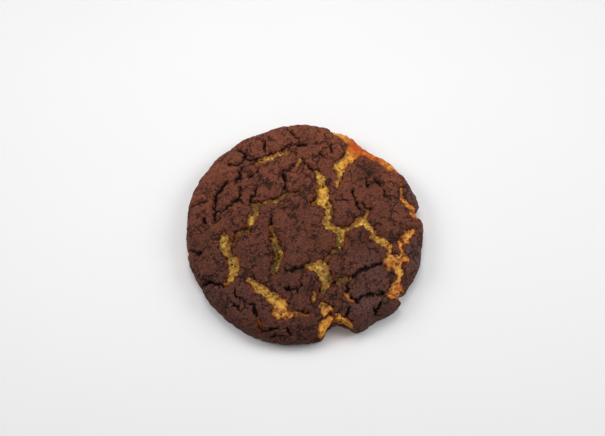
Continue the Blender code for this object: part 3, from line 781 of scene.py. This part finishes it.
class Shader:
    """A material under construction, with short ways to add its nodes."""

    def __init__(self, name):
        self.material = bpy.data.materials.new(name)
        self.material.use_nodes = True
        self.tree = self.material.node_tree
        self.surface = self.tree.nodes["Principled BSDF"]
        self.place = self.tree.nodes.new("ShaderNodeTexCoord").outputs["Object"]

    def noise(self, size_mm, detail, seed):
        node = self.tree.nodes.new("ShaderNodeTexNoise")
        node.noise_dimensions = "4D"
        self.tree.links.new(self.place, node.inputs["Vector"])
        node.inputs["Scale"].default_value = 1 / (size_mm * MM)
        node.inputs["Detail"].default_value = detail
        node.inputs["W"].default_value = seed
        return node.outputs["Fac"]

    def stirred(self, size_mm, amount_mm, seed):
        """The place, moved about by noise of this size."""
        node = self.tree.nodes.new("ShaderNodeTexNoise")
        node.noise_dimensions = "4D"
        self.tree.links.new(self.place, node.inputs["Vector"])
        node.inputs["Scale"].default_value = 1 / (size_mm * MM)
        node.inputs["W"].default_value = seed
        middle = self.vectors("SUBTRACT", node.outputs["Color"], (0.5, 0.5, 0.5))
        shift = self.vectors("MULTIPLY", middle, (2 * amount_mm * MM,) * 3)
        return self.vectors("ADD", self.place, shift)

    def vectors(self, operation, first, second):
        node = self.tree.nodes.new("ShaderNodeVectorMath")
        node.operation = operation
        self.join(first, node.inputs[0])
        self.join(second, node.inputs[1])
        return node.outputs["Vector"]

    def hairlines(self, size_mm, width_mm, shown, seed):
        """1 on short jagged cracks between grains of this size, 0 off them."""
        net = self.tree.nodes.new("ShaderNodeTexVoronoi")
        net.voronoi_dimensions = "4D"
        net.feature = "DISTANCE_TO_EDGE"
        net.inputs["Scale"].default_value = 1 / (size_mm * MM)
        net.inputs["W"].default_value = seed
        self.join(self.stirred(0.35 * size_mm, 0.3 * size_mm, seed), net.inputs["Vector"])
        line = self.span(net.outputs["Distance"], width_mm / size_mm, 0.3 * width_mm / size_mm)
        gate = self.patches(0.9 * size_mm, 2, seed + 3, shown, shown + 0.05)
        return self.maths("MULTIPLY", line, gate)

    def loose(self, value, size_mm, amount, seed):
        """A value with noise of this size and amount added."""
        return self.maths("ADD", value, self.patches(size_mm, 2, seed, 0.25, 0.75, -amount, amount))

    def patches(self, size_mm, detail, seed, low, high, start=0.0, end=1.0):
        """Noise stretched to be start where it is under low and end where it is over high."""
        return self.span(self.noise(size_mm, detail, seed), low, high, start, end)

    def mark(self, name):
        node = self.tree.nodes.new("ShaderNodeAttribute")
        node.attribute_name = name
        return node.outputs["Fac"]

    def span(self, value, low, high, start=0.0, end=1.0):
        node = self.tree.nodes.new("ShaderNodeMapRange")
        self.tree.links.new(value, node.inputs["Value"])
        for key, number in (("From Min", low), ("From Max", high), ("To Min", start), ("To Max", end)):
            node.inputs[key].default_value = number
        return node.outputs["Result"]

    def mix(self, share, low, high):
        """The low colour where the share is 0, the high one where it is 1."""
        node = self.tree.nodes.new("ShaderNodeMix")
        node.data_type = "RGBA"
        self.join(share, node.inputs["Factor"])
        self.join(low, node.inputs[MIX_LOW])
        self.join(high, node.inputs[MIX_HIGH])
        return node.outputs[MIX_RESULT]

    def pair(self, share, colours):
        return self.mix(share, srgb(colours[0]), srgb(colours[1]))

    def tint(self, base, where, share, colour):
        """The base with this share of a colour over it where the value is 1."""
        return self.mix(self.maths("MULTIPLY", where, share), base, srgb(colour))

    def maths(self, operation, first, second):
        node = self.tree.nodes.new("ShaderNodeMath")
        node.operation = operation
        self.join(first, node.inputs[0])
        self.join(second, node.inputs[1])
        return node.outputs["Value"]

    def bump(self, height, depth_mm, strength, under=None):
        node = self.tree.nodes.new("ShaderNodeBump")
        self.tree.links.new(height, node.inputs["Height"])
        node.inputs["Distance"].default_value = depth_mm * MM
        node.inputs["Strength"].default_value = strength
        if under:
            self.tree.links.new(under, node.inputs["Normal"])
        return node.outputs["Normal"]

    def join(self, source, socket):
        if isinstance(source, bpy.types.NodeSocket):
            self.tree.links.new(source, socket)
        else:
            socket.default_value = source

    def set(self, key, source):
        self.join(source, self.surface.inputs[key])


def srgb(colour):
    """A colour written as it shows on screen, 0 to 255, as linear light."""
    shown = np.array(colour) / 255
    linear = np.where(shown <= 0.04045, shown / 12.92, ((shown + 0.055) / 1.055) ** 2.4)
    return (*linear.tolist(), 1.0)


def chocolate_material():
    look = Shader("chocolate_dough")
    patch = look.patches(7.0, 3, 0.0, 0.35, 0.65)
    # Painted light and shade: lighter crust at the back, darker at the front
    base = look.mix(look.mark("front_shade"), look.pair(patch, CRUST_LIT), look.pair(patch, CRUST_SHADED))
    base = look.tint(base, look.patches(2.6, 3, 91.0, 0.46, 0.62), 0.2, CRUST_PLUM)
    # Painted sheen: a cool grey tone on the right side's plates and rim
    base = look.mix(look.mark("sheen"), base, srgb(CRUST_SHEEN))
    # Painted shade on plates that lie sunken or slope away from the light
    base = look.mix(look.mark("painted_shade"), base, srgb(CRUST_SHADE))
    for size_mm, detail, seed, low, high, share, colour in CRUST_SPECKS:
        base = look.tint(base, look.patches(size_mm, detail, seed, low, high), share, colour)
    toast = look.span(look.loose(look.mark("window"), 0.9, 0.45, 31.0), 1.0, 0.0)
    base = look.tint(base, toast, 0.85, CRUST_TOASTED)

    # Painted shade: hairline cracks, crevices, closed cracks and pits are drawn near black
    fine_lines = look.hairlines(2.4, 0.2, 0.58, 61.0)
    long_lines = look.hairlines(4.5, 0.3, 0.54, 51.0)
    narrow = look.maths("MAXIMUM", fine_lines, long_lines)
    crevice = look.span(look.loose(look.mark("crevice"), 0.6, 0.14, 45.0), 0.26, 0.06)
    lines = look.maths("MAXIMUM", look.maths("MULTIPLY", crevice, 0.75), look.maths("MULTIPLY", narrow, 0.8))
    groove = look.span(look.loose(look.mark("closed"), 0.8, 0.3, 41.0), 0.22, -0.12)
    painted_shade = look.maths("MAXIMUM", look.maths("MAXIMUM", lines, groove), look.mark("pit"))
    base = look.tint(base, painted_shade, 0.93, CRUST_CREVICE_SHADE)

    smear = look.span(look.loose(look.mark("smear"), 1.6, 0.4, 87.0), 0.35, 0.9)
    smear = look.maths("MULTIPLY", smear, look.patches(2.5, 3, 83.0, 0.42, 0.6, 0.1, 0.9))
    base = look.mix(smear, base, srgb(CRUST_SMEAR))
    look.set("Base Color", base)
    look.set("Roughness", look.patches(1.2, 3, 17.0, 0.3, 0.7, 0.65, 0.9))
    look.set("Specular IOR Level", 0.2)
    fine = look.bump(look.maths("SUBTRACT", look.noise(0.7, 3, 21.0), lines), 0.6, 1.0)
    look.set("Normal", look.bump(look.noise(1.3, 3, 25.0), 0.8, 1.0, under=fine))
    return look.material


def yellow_material():
    look = Shader("yellow_dough")
    patch = look.patches(1.5, 3, 0.0, 0.42, 0.58)
    base = look.mix(look.mark("orange"), look.pair(patch, CRUMB_GOLDEN), look.pair(patch, CRUMB_ORANGE))
    base = look.mix(look.mark("bright"), base, srgb(CRUMB_BRIGHT))
    base = look.mix(look.mark("dim"), base, srgb(CRUMB_DIM))
    # Specks: the pale ones painted highlights, the darkest painted shade of small pits
    for size_mm, detail, seed, low, high, share, colour in CRUMB_SPECKS_HIGHLIGHTS_AND_SHADE:
        base = look.tint(base, look.patches(size_mm, detail, seed, low, high), share, colour)
    # Painted shadow of the crust's wall on the crumb
    wall_shadow = look.span(look.loose(look.mark("wall_shadow"), 1.5, 0.3, 71.0), 0.2, 1.0)
    base = look.tint(base, wall_shadow, 0.6, CRUMB_WALL_SHADOW)
    # Painted shade: the crumb is drawn olive deep in narrow cracks
    deep_shade = look.span(look.loose(look.mark("deep"), 2.6, 0.9, 5.0), 0.3, 0.9)
    base = look.tint(base, deep_shade, 0.85, CRUMB_DEEP_SHADE)
    scorched = look.pair(look.patches(3.0, 3, 41.0, 0.42, 0.58), CRUMB_SCORCHED)
    base = look.mix(look.mark("scorched"), base, scorched)
    rim = look.span(look.loose(look.mark("window"), 0.8, 0.4, 31.0), -0.55, 0.0)
    base = look.tint(base, rim, 0.8, CRUMB_RIM)
    # Painted shade in the holes and in the hollows between crumbs
    base = look.tint(base, look.mark("hole"), 0.85, CRUMB_HOLE_SHADE)
    look.set("Base Color", base)
    look.set("Roughness", look.patches(1.0, 3, 7.0, 0.3, 0.7, 0.55, 0.8))
    look.set("Specular IOR Level", 0.3)
    fine = look.bump(look.noise(0.5, 3, 11.0), 0.3, 1.0)
    look.set("Normal", look.bump(look.noise(1.2, 3, 15.0), 0.5, 0.9, under=fine))
    return look.material


def floor_material():
    look = Shader("plain_floor")
    look.set("Base Color", look.mix(look.patches(60.0, 2, 0.0, 0.3, 0.7), *FLOOR_TONES))
    look.set("Roughness", 0.9)
    return look.material


# Floor, light and camera

# Fitted to the outline of the cookie in the photograph
CAMERA_TARGET = Vector((-0.605, 3.529, 8.0)) * MM
CAMERA_DISTANCE = 421.03 * MM
CAMERA_ELEVATION = math.radians(65.13)
CAMERA_LENS = 60.0

FLOOR_SIZE = 3.0
FLOOR_GAP = 0.00005

# Name, place, size, power in watts, colour and spread in degrees of each light, which all face the middle
SOFTBOXES = (
    ("top_light", (-0.02, 0.2, 0.42), 0.28, 0.22, (1.0, 0.985, 0.965), 90),
    ("left_light", (-0.55, 0.1, 0.42), 0.4, 1.9, (1.0, 0.99, 0.98), 180),
    ("right_light", (0.55, 0.1, 0.42), 0.4, 2.05, (0.98, 0.99, 1.0), 180),
)
SKY_COLOUR = (0.97, 0.98, 1.0, 1)
SKY_STRENGTH = 0.27


def add_floor():
    bpy.ops.mesh.primitive_plane_add(size=FLOOR_SIZE, location=(0, 0, -FLOOR_GAP))
    floor = bpy.context.object
    floor.name = "floor"
    floor.data.materials.append(floor_material())


def add_softbox(name, place, size, power, colour, spread):
    light = bpy.data.objects.new(name, bpy.data.lights.new(name, "AREA"))
    light.data.shape = "DISK"
    light.data.spread = math.radians(spread)
    light.data.size = size
    light.data.energy = power
    light.data.color = colour
    light.location = place
    light.rotation_euler = (-Vector(place)).to_track_quat("-Z", "Y").to_euler()
    bpy.context.scene.collection.objects.link(light)


def add_light():
    for softbox in SOFTBOXES:
        add_softbox(*softbox)
    world = bpy.data.worlds.new("studio")
    bpy.context.scene.world = world
    world.use_nodes = True
    background = world.node_tree.nodes["Background"]
    background.inputs["Color"].default_value = SKY_COLOUR
    background.inputs["Strength"].default_value = SKY_STRENGTH


def add_camera():
    camera = bpy.data.objects.new("camera", bpy.data.cameras.new("camera"))
    camera.data.lens = CAMERA_LENS
    back = Vector((0, -math.cos(CAMERA_ELEVATION), math.sin(CAMERA_ELEVATION)))
    camera.location = CAMERA_TARGET + CAMERA_DISTANCE * back
    camera.rotation_euler = (-back).to_track_quat("-Z", "Y").to_euler()
    bpy.context.scene.collection.objects.link(camera)
    bpy.context.scene.camera = camera
    bpy.context.scene.view_settings.view_transform = "Standard"


def dress(piece, node, material):
    piece.data.materials.append(material)
    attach(piece, "root")
    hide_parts(node)


dress(crust_piece(), "chocolate_shell", chocolate_material())
dress(filling_piece(), "yellow_filling", yellow_material())
add_floor()
add_light()
add_camera()
